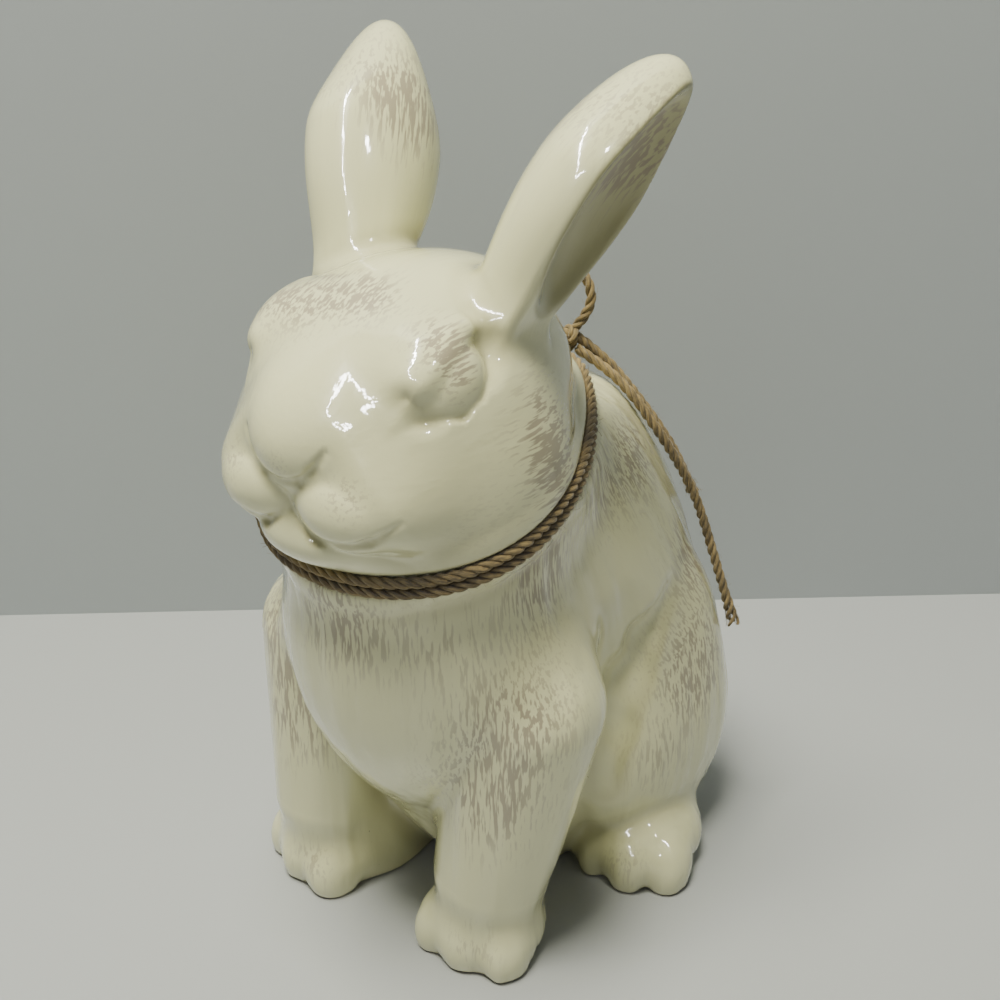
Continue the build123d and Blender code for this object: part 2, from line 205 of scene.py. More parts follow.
eyeBall = {"centre": (22.4, -57.3, 212.4), "radii": (15.7, 15.7, 15.7)}
# The eye's rim is sharp below and behind, and fades out under the brow
eyeFade = {"start": (33, -61.5, 217.5), "way": (-0.65, -0.47, 0.59), "near": -2, "far": 7,
           "sharp": 1.3, "soft": 10}
brow = {"start": (26.3, -70, 216.8), "end": (28.8, -50, 225.3), "radii": (2.8, 2.8), "blend": 6}
earShape = {
    "root": (30, -26, 228),
    "tip": (52, 12, 283),
    "out": (0.96, 0.28, 0),        # the way that the hollow faces
    "midShare": 0.52,
    "bodyRadii": (23, 17, 41.5),
    "bodyBack": 2,
    "pointed": 0.55,
    "stalkRadii": (14, 15),
    "stalkBlend": 6,
    "stalkSunk": 6,
    "stalkShort": 8,
    "rimDistance": 7,
    "rimBlend": 3,
    "hollowOut": 10,
    "hollowUp": 1,
    "hollowRadii": (19.5, 12, 37),
    "hollowBlend": 2.2,
}
haunchMasses = {
    "thigh": {"centre": (41, 40, 50), "radii": (21, 40, 46), "turn": (-8, 10, 0), "paired": True},
    "hip": {"centre": (37, 50, 82), "radii": (17, 24, 26), "turn": (-8, 22, 0), "blend": 9, "paired": True},
}
haunchCrease = {
    "path": [(53, 35, 112), (51.2, 20.5, 100.5), (48.2, 14.5, 88), (47, 6.5, 68), (47.2, 3.3, 44)],
    "radii": [2, 4.4, 5, 5, 3.4],
    "blends": [8, 8, 8, 8],
}
haunchBlend = {"low": 3.5, "high": 16, "from": 22, "to": 62}
foreleg = {
    "radii": (25, 20),
    "pawRadii": (21.5, 19.5, 18),
    "pawHeight": 10,
    "pawBlend": 8,
}
leftForeleg = {"side": 1, "shoulder": (38, -32, 98), "ankle": (29, -39, 32), "paw": (27, -40), "splay": 4}
rightForeleg = {"side": -1, "shoulder": (-43.5, -32, 98), "ankle": (-43, -40, 32), "paw": (-43, -40.5),
                "splay": 16}
hindFoot = {"centre": (47, 30.5, 10.5), "radii": (21.5, 25.5, 17.5), "turn": (15,), "paired": True}
toes = {
    "spread": 13.5,          # between the middles of the toes
    "reach": 10.5,           # of the middle toe from the paw's centre
    "sideReach": 8,
    "radii": (8, 10, 12.5),
    "height": 6.5,
    "blend": 3.4,
    "footReach": 16.5,
    "footSideReach": 12.5,
}
tailMass = {"centre": (0, 94.5, 34), "radii": (18, 16, 18)}
forelegBlend = {"low": 4, "high": 15, "from": 85, "to": 125}
joins = {"foot": 6, "tail": 6, "head": 4, "ear": 6, "base": 1.4}
# The vent hole of the hollow casting, blind here
vent = {"centre": (0, 25.3), "radius": 6, "depth": 6, "blend": 0.8}


def earAxes():
    root = np.array(earShape["root"], float)
    along = np.array(earShape["tip"], float) - root
    along /= np.linalg.norm(along)
    out = np.array(earShape["out"], float)
    out -= along * (out @ along)
    out /= np.linalg.norm(out)
    middle = root + (np.array(earShape["tip"], float) - root) * earShape["midShare"]
    return middle, np.stack([np.cross(out, along), out, along], 1)


def taperedEar(s):  # places along the ear's own axes, spread towards its tip so that the tip is pointed
    middle, axes = earAxes()
    tapered = (s - middle) @ axes
    tapered[:, 0] *= 1 + earShape["pointed"] * ramp(tapered[:, 2], 0, earShape["bodyRadii"][2])
    return tapered


def earHollow(tapered):
    return ellipsoid(tapered, (0, earShape["hollowOut"], earShape["hollowUp"]), earShape["hollowRadii"])


def earField(s):
    middle, axes = earAxes()
    out, along = axes[:, 1], axes[:, 2]
    tapered = taperedEar(s)
    field = ellipsoid(tapered, (0, -earShape["bodyBack"], 0), earShape["bodyRadii"])
    low = np.array(earShape["root"], float) - along * earShape["stalkSunk"]
    high = middle - along * earShape["stalkShort"]
    stalk = capsule(s, low, high, *earShape["stalkRadii"])
    field = smoothMin(field, stalk, earShape["stalkBlend"])
    field = smoothMax(field, (s - middle) @ out - earShape["rimDistance"], earShape["rimBlend"])
    return smoothMax(field, -earHollow(tapered), earShape["hollowBlend"])


def toeField(field, q, reach, sideReach):  # q is turned so that the toes point along -y
    for place in (-1, 0, 1):
        forward = reach if place == 0 else sideReach
        centre = (place * toes["spread"], -forward, toes["height"])
        field = smoothMin(field, ellipsoid(q, centre, toes["radii"]), toes["blend"])
    return field


def forelegField(p, own):
    leg = capsule(p, own["shoulder"], own["ankle"], *foreleg["radii"])
    q = (p - np.array([*own["paw"], 0])) @ turnedAxes(own["side"] * own["splay"])
    pawField = ellipsoid(q, (0, 0, foreleg["pawHeight"]), foreleg["pawRadii"])
    pawField = toeField(pawField, q, toes["reach"], toes["sideReach"])
    return smoothMin(leg, pawField, foreleg["pawBlend"])


def footField(s):
    turn = turnedAxes(*hindFoot["turn"])
    q = (s - np.array([*hindFoot["centre"][:2], 0])) @ turn
    field = ellipsoid(q, (0, 0, hindFoot["centre"][2]), hindFoot["radii"])
    return toeField(field, q, toes["footReach"], toes["footSideReach"])


def varyingBlend(place, setting):
    return setting["low"] + (setting["high"] - setting["low"]) * ramp(place, setting["from"], setting["to"])


def fadingBlend(s, fade):
    reach = (s - np.array(fade["start"], float)) @ np.array(fade["way"], float)
    return fade["sharp"] + (fade["soft"] - fade["sharp"]) * ramp(reach, fade["near"], fade["far"])


def headField(p, s):
    field = merged(p, s, headMasses)
    field = smoothMin(field, massField(p, lowerLip), lowerLip["blend"])
    field = smoothMin(field, massField(s, muzzlePad), fadingBlend(s, padFade))
    field = grooved(grooved(field, s, noseCrease), s, mouthCrease)
    field = smoothMin(field, massField(s, brow), brow["blend"])
    for groove in eyeSocket.values():
        field = grooved(field, s, groove)
    return smoothMin(field, massField(s, eyeBall), fadingBlend(s, eyeFade))


castingNames = ["torso_casting", "head_casting", "left_ear", "right_ear", "left_foreleg", "right_foreleg",
                "left_haunch", "right_haunch", "left_hind_foot", "right_hind_foot", "tail"]


def figureFields(p):  # the whole figure's field, and one for each casting, the least of which owns a point
    s = leftOf(p)
    torso = smoothMin(merged(p, s, torsoMasses), massField(p, lap), lap["blend"])
    torso = smoothMax(torso, -massField(s, flankCut), flankCut["blend"])
    head = headField(p, s)
    haunch = merged(p, s, haunchMasses)
    left, right = forelegField(p, leftForeleg), forelegField(p, rightForeleg)
    foot, tail, ear = footField(s), massField(p, tailMass), earField(s)
    whole = grooved(smoothMin(torso, haunch, varyingBlend(p[:, 1], haunchBlend)), s, haunchCrease)
    legBlend = varyingBlend(p[:, 2], forelegBlend)
    for part, blend in ((left, legBlend), (right, legBlend), (foot, joins["foot"]), (tail, joins["tail"]),
                        (head, joins["head"])):
        whole = smoothMin(whole, part, blend)
    aside, height, turn = neckCoordinates(p)
    collar = smoothMax(aside + neck["twineRadius"], np.abs(height) - neck["collarHeight"],
                       neck["collarEdge"])
    whole = smoothMin(whole, collar, neck["collarBlend"])
    lift = ramp(-turn, math.pi * neck["climbRight"], math.pi)
    lift = lift + ramp(turn, math.pi * neck["climbLeft"], math.pi)
    top = neck["pitch"] * (0.5 + np.clip(lift, 0, 1))
    offset = np.abs(height - np.clip(height, -neck["pitch"] / 2, top))
    inner = np.hypot(aside, offset) - neck["twineRadius"]
    outer = (offset - neck["twineRadius"] - neck["seatSlope"] * aside) / math.hypot(1, neck["seatSlope"])
    seat = np.where(aside < 0, inner, outer)
    whole = np.where(np.abs(aside) < neck["seatReach"], smoothMax(whole, -seat, neck["seatBlend"]), whole)
    whole = smoothMin(whole, ear, joins["ear"])
    whole = smoothMax(whole, -p[:, 2], joins["base"])
    bore = np.hypot(p[:, 0] - vent["centre"][0], p[:, 1] - vent["centre"][1]) - vent["radius"]
    bore = smoothMax(bore, p[:, 2] - vent["depth"], vent["blend"])
    whole = smoothMax(whole, -bore, vent["blend"])
    core = np.minimum(np.minimum(torso, head), collar)
    seam = neck["seam"]
    above = np.clip(height, -seam, seam)
    onLeft = p[:, 0] > 0
    far = 1e3
    ears, haunches, feet = ([np.where(onLeft, field, far), np.where(onLeft, far, field)]
                            for field in (ear, haunch, foot))
    own = [core + seam + above, core + seam - above, *ears, left, right, *haunches, *feet, tail]
    return whole, own


# The net of faces over the castings. Neighbouring castings share the points of their seam.
surface = {
    "step": 1.0,
    "coarseCells": 4,
    "reach": 2.0,            # of a coarse cell's size, from the surface
    "settling": 3,           # times that the points are drawn to the surface
    "probe": 0.05,
    "threads": 4,
    "chunk": 60000,
    "margin": 2.5,           # in steps, round the frame's box
    "under": 1.5,
    "over": 3,               # in millimetres, because the ears stand a little higher here
    "leastSlope": 0.05,
    "furthest": 0.5,         # in steps, that a point is drawn at once
}
cubeCorners = [(i, j, k) for i in (0, 1) for j in (0, 1) for k in (0, 1)]


def inPieces(function, p):  # runs a field over many points, some at a time
    parts = np.array_split(p, max(1, len(p) // surface["chunk"]))
    with ThreadPoolExecutor(surface["threads"]) as pool:
        return list(pool.map(function, parts))


def wholeField(p):
    return np.concatenate(inPieces(lambda part: figureFields(part)[0], p))


def ownFields(p):
    return np.concatenate(inPieces(lambda part: np.stack(figureFields(part)[1], 1), p))


def labelledPart(p):
    whole, own = figureFields(p)
    return whole, np.argmin(np.stack(own, 1), 1) + 1


def labelled(p):
    found = inPieces(labelledPart, p)
    whole = np.concatenate([part[0] for part in found])
    owner = np.concatenate([part[1] for part in found])
    return whole, np.where(whole < 0, owner, 0).astype(np.int8)


def slopeOf(function, p):
    probe = surface["probe"]
    steps = [function(p + way) - function(p - way) for way in np.eye(3) * probe]
    return np.stack(steps, -1) / (2 * probe)


def cornersOf(grid, reduce):
    a, b, c = grid.shape
    views = [grid[i:a - 1 + i, j:b - 1 + j, k:c - 1 + k] for i, j, k in cubeCorners]
    result = views[0].copy()
    for view in views[1:]:
        result = reduce(result, view)
    return result


def gridLabels():
    step = surface["step"]
    many = surface["coarseCells"]
    margin = surface["margin"] * step
    low = np.array(cadLow) / millimetre - margin
    low[2] = -surface["under"] * step
    high = np.array(cadHigh) / millimetre + margin + surface["over"]
    cells = np.ceil((high - low) / (step * many)).astype(int)
    lines = [low[i] + step * many * np.arange(cells[i] + 1) for i in range(3)]
    nodes = np.stack(np.meshgrid(*lines, indexing="ij"), -1)
    whole, label = labelled(nodes.reshape(-1, 3))
    whole, label = whole.reshape(cells + 1), label.reshape(cells + 1)
    close = cornersOf(np.abs(whole), np.minimum) < surface["reach"] * step * many
    mixed = cornersOf(label, np.minimum) != cornersOf(label, np.maximum)
    active = close | mixed
    for axis in range(3):
        active = np.repeat(active, many, axis)
    size = cells * many + 1
    wanted = np.zeros(size, bool)
    for i, j, k in cubeCorners:
        wanted[i:size[0] - 1 + i, j:size[1] - 1 + j, k:size[2] - 1 + k] |= active
    for axis in range(3):
        label = np.repeat(label, many, axis)
    label = label[:size[0], :size[1], :size[2]].copy()
    fine = np.zeros(size, np.float32)
    places = np.argwhere(wanted)
    fineWhole, fineLabel = labelled(low + places * step)
    fine[wanted] = fineWhole
    label[wanted] = fineLabel
    print("grid", list(size), "with", len(places), "points measured")
    return low, fine, label


def netOf(low, fine, label):
    step = surface["step"]
    least, most = cornersOf(label, np.minimum), cornersOf(label, np.maximum)
    cells = np.argwhere(least != most)
    index = np.full(least.shape, -1, np.int64)
    index[tuple(cells.T)] = np.arange(len(cells))
    outer = least[tuple(cells.T)] == 0
    edges = [(a, b) for a in cubeCorners for b in cubeCorners
             if a < b and sum(abs(x - y) for x, y in zip(a, b)) == 1]
    total = np.zeros((len(cells), 3))
    count = np.zeros(len(cells))
    for a, b in edges:
        atA, atB = tuple((cells + a).T), tuple((cells + b).T)
        labelA, labelB = label[atA], label[atB]
        crossing = (labelA != labelB) & (~outer | (labelA == 0) | (labelB == 0))
        ends = fine[atA] - fine[atB]
        t = np.where(outer, fine[atA] / np.where(np.abs(ends) > 1e-9, ends, 1), 0.5)
        place = np.array(a) + np.clip(t, 0, 1)[:, None] * (np.array(b) - np.array(a))
        total += np.where(crossing[:, None], place, 0)
        count += crossing
    points = low + step * (cells + total / np.maximum(count, 1)[:, None])
    pairLow = np.full(len(cells), 99)
    for corner in cubeCorners:
        found = label[tuple((cells + corner).T)]
        pairLow = np.where(found > 0, np.minimum(pairLow, found), pairLow)
    pair = np.stack([pairLow, most[tuple(cells.T)]], 1)
    return points, outer, pair, index


def settled(points, outer, pair):  # draws the points onto the surface, and the seams' points onto the seam
    step = surface["step"]
    seam = pair[:, 0] != pair[:, 1]

    def difference(p, which):
        own = ownFields(p)
        rows = np.arange(len(p))
        return own[rows, which[:, 0] - 1] - own[rows, which[:, 1] - 1]

    def moved(p, value, slope):
        away = value[:, None] * slope / np.maximum((slope ** 2).sum(1), surface["leastSlope"])[:, None]
        size = np.sqrt((away ** 2).sum(1))
        return p - away * np.minimum(1, surface["furthest"] * step / np.maximum(size, 1e-9))[:, None]

    for turn in range(surface["settling"]):
        here = points[seam]
        slope = slopeOf(lambda p: difference(p, pair[seam]), here)
        rim = outer[seam]
        if rim.any():
            face = slopeOf(wholeField, here[rim])
            face /= np.maximum(np.sqrt((face ** 2).sum(1)), 1e-9)[:, None]
            slope[rim] -= face * (slope[rim] * face).sum(1)[:, None]
        points[seam] = moved(here, difference(here, pair[seam]), slope)
        skin = points[outer]
        points[outer] = moved(skin, wholeField(skin), slopeOf(wholeField, skin))
    return points


def facesOf(label, index, owner):
    faces = []
    for axis in range(3):
        u, w = (axis + 1) % 3, (axis + 2) % 3
        below, above = [slice(None)] * 3, [slice(None)] * 3
        below[axis], above[axis] = slice(0, -1), slice(1, None)
        first, second = label[tuple(below)], label[tuple(above)]
        du, dw = np.eye(3, dtype=int)[u], np.eye(3, dtype=int)[w]
        forward = (first == owner) & (second != owner)
        backward = (second == owner) & (first != owner)
        for inside, turned in ((forward, False), (backward, True)):
            at = np.argwhere(inside)
            quad = np.stack([index[tuple((at - way).T)] for way in (0 * du, du, du + dw, dw)], 1)
            faces.append(quad[:, ::-1] if turned else quad)
    return np.concatenate(faces)


# Brushed fur: the way it lies on each casting, its relief and the worn marks, which also hold painted shade
# at the eye and in the ears' hollows
fur = {
    "lean": 0.55,            # of the torso's fur, which lies upright at the throat and slants down the back
    "leanFrom": (-70, 60),
    "leanHeight": 115,
    "squeeze": 0.11,         # along the fur, so that its marks are long
    "lumpSize": 6.5,
    "lumpDepth": 0.5,
    "strandSize": 2.4,
    "strandDepth": 0.12,
    "headShare": 0.15,       # of the depths, on the smoother head and ears
    "seamFade": 5,
    "seed": 11,
    "strandSeed": 50,
}
latticeSize = 4096           # a power of two
latticeSteps = (73856093, 19349663, 83492791)


def furPlace(p, owner):
    name = castingNames[owner - 1]
    if name.endswith("ear"):
        s = p * np.array([-1 if name.startswith("right") else 1, 1, 1])
        middle, axes = earAxes()
        return ((s - middle) @ axes) * np.array([1, 1, fur["squeeze"]])
    if name == "head_casting":
        return p * np.array([1, fur["squeeze"], 1])
    if name in ("torso_casting", "tail"):
        lean = fur["lean"] * ramp(p[:, 1], *fur["leanFrom"])
        along = p[:, 1] + lean * (p[:, 2] - fur["leanHeight"])
        return np.stack([p[:, 0], along, p[:, 2] * fur["squeeze"]], 1)
    return p * np.array([1, 1, fur["squeeze"]])


def latticeNoise(q, seed):
    table = np.random.default_rng(seed).uniform(-1, 1, latticeSize)
    cell = np.floor(q).astype(np.int64)
    f = q - cell
    f = f * f * f * (f * (f * 6 - 15) + 10)
    result = np.zeros(len(q))
    for corner in cubeCorners:
        x, y, z = ((cell + corner) * latticeSteps).T
        share = np.abs(1 - np.array(corner) - f)
        result += share[:, 0] * share[:, 1] * share[:, 2] * table[(x ^ y ^ z) & (latticeSize - 1)]
    return result


def relief(p, owner):
    depth = np.zeros(len(p))
    for label in np.unique(owner):
        rows = owner == label
        q = furPlace(p[rows], label)
        lumps = latticeNoise(q / fur["lumpSize"], fur["seed"] + label)
        strands = latticeNoise(q / fur["strandSize"], fur["seed"] + fur["strandSeed"] + label)
        smooth = castingNames[label - 1] in ("head_casting", "left_ear", "right_ear")
        share = fur["headShare"] if smooth else 1
        depth[rows] = (lumps * fur["lumpDepth"] + strands * fur["strandDepth"]) * share
    return depth


# Where the brushed glaze is worn, with painted shade added at the eye under the brow and in the ears'
# hollows. The left side stands for both, apart from the single spots.
wearAndShadeSpots = {         # centre, reach and strength
    "brow": ((29, -60, 224), 12, 1.1),
    # painted shade as well as worn marks: darkens the eye under the brow
    "eye": ((34, -60, 218), 9, 0.5),
    "foreheadRight": ((-13, -62, 232), 20, 0.95),
    "foreheadLeft": ((5, -60, 234), 13, 0.7),
    "cheek": ((46, -34, 195), 22, 0.95),
    "cheekLow": ((46, -30, 180), 18, 0.7),
    "jowl": ((34, -60, 178), 16, 0.3),
    "pad": ((21, -91, 190), 9, 0.5),
    "nose": ((1, -96, 196), 7, 0.35),
    "earBack": ((27, -5, 270), 20, 0.95),
    # painted shade as well as worn marks: darkens the ear's hollow
    "earHollow": ((49, 3, 267), 24, 1.1),
    "throat": ((2, -78, 140), 24, 0.95),
    "throatSide": ((32, -68, 136), 20, 0.4),
    "shoulder": ((46, -34, 150), 24, 0.95),
    "shoulderRear": ((40, 2, 161), 22, 0.8),
    "upperLeg": ((47, -53, 106), 28, 0.85),
    "lowerLeg": ((40, -58, 74), 26, 0.8),
    "thigh": ((60, 42, 80), 30, 0.95),
    "knee": ((58, 20, 52), 20, 0.45),
    "withers": ((33, 33, 160), 24, 0.8),
    "flank": ((45, 57, 120), 28, 0.9),
    "rump": ((30, 88, 92), 30, 0.7),
    "toe": ((36, -62, 15), 14, 0.5),
    "hindToe": ((56, 0, 15), 14, 0.5),
    "scut": ((0, 112, 40), 16, 0.6),
}
singleSpots = ("foreheadRight", "foreheadLeft", "throat")
# Painted shade: the glaze is darkened where the surface is close again at this offset from it, and in the
# ears' hollows
paintedShade = {"offset": 4.5, "hollow": (0.5, 3.5)}


def wearAndShadeOf(p):
    s = leftOf(p)
    wear = np.zeros(len(p))
    for name, (centre, reach, strength) in wearAndShadeSpots.items():
        place = p if name in singleSpots else s
        distance = ((place - np.array(centre, float)) ** 2).sum(1)
        wear += strength * np.exp(-distance / (2 * (reach / 2) ** 2))
    return np.clip(wear, 0, 1.5)


def unit(vectors):
    return vectors / np.maximum(np.sqrt((vectors ** 2).sum(1)), 1e-9)[:, None]


def makeMesh(name, points, faces, normals, attributes):
    mesh = bpy.data.meshes.new(name)
    mesh.vertices.add(len(points))
    mesh.vertices.foreach_set("co", (points * millimetre).astype(np.float32).ravel())
    mesh.loops.add(faces.size)
    mesh.loops.foreach_set("vertex_index", faces.astype(np.int32).ravel())
    mesh.polygons.add(len(faces))
    mesh.polygons.foreach_set("loop_start", np.arange(0, faces.size, faces.shape[1], dtype=np.int32))
    mesh.update(calc_edges=True)
    mesh.validate()
    mesh.shade_smooth()
    for attribute, values in attributes.items():
        vector = values.ndim == 2
        made = mesh.attributes.new(attribute, "FLOAT_VECTOR" if vector else "FLOAT", "POINT")
        made.data.foreach_set("vector" if vector else "value", values.astype(np.float32).ravel())
    if normals is not None:
        mesh.normals_split_custom_set_from_vertices([tuple(n) for n in normals])
    made = bpy.data.objects.new(name, mesh)
    bpy.context.scene.collection.objects.link(made)
    return made


def makeCastings(material):
    low, fine, label = gridLabels()
    points, outer, pair, index = netOf(low, fine, label)
    points = settled(points, outer, pair)
    print("net of", len(points), "points")
    normals = np.zeros_like(points)
    skin = points[outer]
    face = unit(slopeOf(wholeField, skin))
    own = np.sort(ownFields(skin), 1)
    owner = pair[outer, 0]
    fade = ramp(own[:, 1] - own[:, 0], 0, fur["seamFade"])

    def furDepth(p):
        return relief(p, owner) * fade

    slope = slopeOf(furDepth, skin)
    slope -= face * (slope * face).sum(1)[:, None]
    points[outer] = skin + face * furDepth(skin)[:, None]
    points[outer, 2] = np.maximum(points[outer, 2], 0)
    normals[outer] = unit(face - slope)
    # Painted shade in creases, recesses and the ears' hollows, carried by the pool attribute
    offset = paintedShade["offset"]
    pool = np.zeros(len(points))
    pool[outer] = np.clip(1 - wholeField(skin + face * offset) / offset, 0, 1)
    hollow = earHollow(taperedEar(leftOf(points)))
    pool = np.maximum(pool, 1 - ramp(hollow, *paintedShade["hollow"]))
    wear = wearAndShadeOf(points)
    made = {}
    for number, name in enumerate(castingNames, 1):
        faces = facesOf(label, index, number)
        used, faces = np.unique(faces, return_inverse=True)
        faces = faces.reshape(-1, 4)
        attributes = {"fur": furPlace(points[used], number), "wear": wear[used], "pool": pool[used]}
        pieceName = name.replace("_casting", "") + "_glazed"
        piece = makeMesh(pieceName, points[used], faces, normals[used], attributes)
        piece.data.materials.append(material)
        made[name] = piece
        print(name, len(faces), "faces")
    return made


def fill(tree, node, inputs):
    for name, value in inputs.items():
        if isinstance(value, bpy.types.NodeSocket):
            tree.links.new(value, node.inputs[name])
        else:
            node.inputs[name].default_value = value


def addNode(tree, kind, inputs=None, **settings):
    made = tree.nodes.new(kind)
    for name, value in settings.items():
        setattr(made, name, value)
    fill(tree, made, inputs or {})
    return made


def outputOf(tree, kind, inputs=None, output=0, **settings):
    return addNode(tree, kind, inputs, **settings).outputs[output]


def newMaterial(name):
    material = bpy.data.materials.new(name)
    material.use_nodes = True
    tree = material.node_tree
    tree.nodes.clear()
    shader = addNode(tree, "ShaderNodeBsdfPrincipled")
    addNode(tree, "ShaderNodeOutputMaterial", {"Surface": shader.outputs[0]})
    return material, tree, shader


def attributeOf(tree, name, output="Fac"):
    return outputOf(tree, "ShaderNodeAttribute", None, output, attribute_name=name)


def calculated(tree, operation, *values):
    return outputOf(tree, "ShaderNodeMath", dict(enumerate(values)), operation=operation)


def noiseOf(tree, place, scale, detail=2.0, roughness=0.5):
    inputs = {"Vector": place, "Scale": scale, "Detail": detail, "Roughness": roughness}
    return outputOf(tree, "ShaderNodeTexNoise", inputs, "Fac")


def ranged(tree, value, low, high, least=0.0, most=1.0, **settings):
    inputs = {"Value": value, "From Min": low, "From Max": high, "To Min": least, "To Max": most}
    return outputOf(tree, "ShaderNodeMapRange", inputs, **settings)


def bumpOf(tree, height, strength, distance):
    return outputOf(tree, "ShaderNodeBump", {"Strength": strength, "Distance": distance, "Height": height})


def mixColours(tree, factor, first, second):
    return outputOf(tree, "ShaderNodeMix", {"Factor": factor, 6: first, 7: second}, 2, data_type="RGBA")


glaze = {
    "cream": (0.74, 0.73, 0.45, 1),
    "paintedShadeColour": (0.36, 0.335, 0.17, 1),       # painted shade, in creases, recesses and the ears' hollows
    "paintedShadeRange": (0.04, 0.6),
    "paintedShadeStrength": 0.75,
    "mark": (0.27, 0.215, 0.17, 1),
    "markStrength": 0.72,
    "markRoughness": 0.2,
    "dashScale": 0.95,
    "dashDetail": 2.5,
    "dashLow": 0.55,
    "dashHigh": 0.65,
    "patchScale": 55.0,
    "patchShare": 0.16,
    "wearAndShadeShare": 0.13,
    "wearAndShadeRange": (0.05, 0.7),
    "clay": (0.62, 0.50, 0.38, 1),
    "clayRange": (0.0009, 0.0004),        # of height, where the ground foot shows bare clay
    "bumpScale": 0.5,
    "bumpRoughness": 0.45,
    "bumpStrength": 0.2,
    "bumpDistance": 0.00035,
    "roughness": 0.22,
    "specular": 0.15,
    "coatRoughness": 0.02,
    "coatIndex": 1.5,
}


def makeGlaze():
    material, tree, shader = newMaterial("cream_glaze")
    furVector = attributeOf(tree, "fur", "Vector")
    wear = attributeOf(tree, "wear")
    place = outputOf(tree, "ShaderNodeTexCoord", None, "Object")
    dashes = noiseOf(tree, furVector, glaze["dashScale"], glaze["dashDetail"])
    patches = noiseOf(tree, place, glaze["patchScale"])
    # Worn marks, which at the eye and in the ears' hollows are also painted shade
    markLevel = calculated(tree, "MULTIPLY_ADD", wear, glaze["wearAndShadeShare"], dashes)
    markLevel = calculated(tree, "MULTIPLY_ADD", patches, glaze["patchShare"], markLevel)
    middle = glaze["patchShare"] / 2
    marks = ranged(tree, markLevel, glaze["dashLow"] + middle, glaze["dashHigh"] + middle,
                   interpolation_type="SMOOTHSTEP")
    mask = calculated(tree, "MULTIPLY", marks, ranged(tree, wear, *glaze["wearAndShadeRange"]))
    faint = calculated(tree, "MULTIPLY", mask, glaze["markStrength"])
    # Painted shade from the pool attribute, in creases, recesses and the ears' hollows
    paintedShadeFactor = ranged(tree, attributeOf(tree, "pool"), *glaze["paintedShadeRange"], most=glaze["paintedShadeStrength"])
    colour = mixColours(tree, paintedShadeFactor, glaze["cream"], glaze["paintedShadeColour"])
    colour = mixColours(tree, faint, colour, glaze["mark"])
    height = outputOf(tree, "ShaderNodeSeparateXYZ", {0: place}, "Z")
    colour = mixColours(tree, ranged(tree, height, *glaze["clayRange"]), colour, glaze["clay"])
    rough = calculated(tree, "MULTIPLY_ADD", mask, glaze["markRoughness"], glaze["roughness"])
    ripples = noiseOf(tree, furVector, glaze["bumpScale"], roughness=glaze["bumpRoughness"])
    bump = bumpOf(tree, ripples, glaze["bumpStrength"], glaze["bumpDistance"])
    fill(tree, shader, {
        "Base Color": colour, "Roughness": rough, "Normal": bump, "Specular IOR Level": glaze["specular"],
        "Coat Weight": 1.0, "Coat Roughness": glaze["coatRoughness"], "Coat IOR": glaze["coatIndex"],
        "Coat Normal": bump,
    })
    return material


castings = makeCastings(makeGlaze())
for node, piece in castings.items():
    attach(piece, "root")
    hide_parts(node)
print("castings made")

# Twine: three twisted plies that follow each route, with loose fibres and frayed ends, in metres
twine = {
    "diameter": 0.0035,
    "plies": 3,
    "plyRadius": 0.00085,
    "plyOffset": 0.00095,
    "layLength": 0.0115,     # in which a ply goes once round
    "step": 0.0006,
    "sides": 8,
    "unevenness": 0.16,
    "unevenScale": 420.0,
    "wander": 0.00012,
    "wanderScale": 260.0,
    "thinning": -0.4,        # of a ply towards its frayed end
    "unfrayed": 0.00001,     # stands for no fray
    "seed": 5,
}
fuzz = {
    "density": 110000.0,
    "radius": 0.00003,
    "sides": 3,
    "bendSteps": 4,
    "bend": {"Start": (0, 0, 0), "Middle": (0.0004, 0, 0.0006), "End": (0.0015, 0, 0.0006)},
    "tilt": 0.3,
    "size": (0.5, 1.8),      # of one fibre beside the next
}
frayed = {
    "shortest": 0.001,
    "radius": 0.0001,
    "sides": 3,
    "thinning": -0.5,
    "reach": (0.25, 1.0),    # of a fibre, as a share of the spread and flare
    "spread": 0.0012,        # from the line, where the fray starts
    "flare": 0.0017,         # and what its end adds
    "slip": (-0.005, 0.0012),      # of a fibre's end along the line
    "wave": 0.0012,
    "waveScale": 300.0,
}
wrapPointsInTurn = 24

